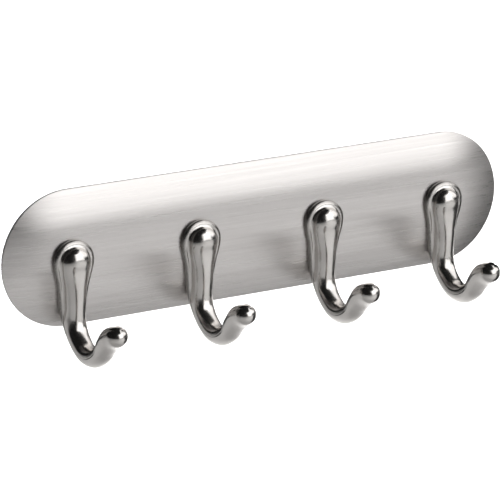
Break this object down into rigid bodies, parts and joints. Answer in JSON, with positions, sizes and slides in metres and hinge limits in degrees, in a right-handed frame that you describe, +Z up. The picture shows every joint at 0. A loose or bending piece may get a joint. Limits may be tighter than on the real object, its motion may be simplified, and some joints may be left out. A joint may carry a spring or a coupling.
{
  "type": "wall hook rack",
  "caption": "Wall rack with a crowned stainless face plate and a row of upturned cast hooks for keys, towels and light clothes, stuck to the wall by foam pads.",
  "frame": {"origin": "centre of the centre adhesive pad's back face, which is the rack's middle in X and Z, on the wall", "axes": "+Z up, +X along the rack, +Y into the wall, so the hooks stand out along -Y"},
  "size_m": [0.202, 0.0427, 0.0596],
  "materials": {
    "face_plate": "brushed along the length",
    "hook": "polished satin nickel on a zinc casting",
    "fastener": "zinc plated",
    "back_insert": "fine moulded texture",
    "adhesive_pad": "closed-cell foam"
  },
  "bodies": {
    "root": {"face_plate": "face_plate", "back_insert": "back_insert", "hook_1": "hook", "hook_2": "hook", "hook_3": "hook", "hook_4": "hook", "hook_screw_1": "fastener", "hook_screw_2": "fastener", "hook_screw_3": "fastener", "hook_screw_4": "fastener", "lock_washer_1": "fastener", "lock_washer_2": "fastener", "lock_washer_3": "fastener", "lock_washer_4": "fastener", "adhesive_pad_left": "adhesive_pad", "adhesive_pad_center": "adhesive_pad", "adhesive_pad_right": "adhesive_pad"}
  },
  "joints": []
}
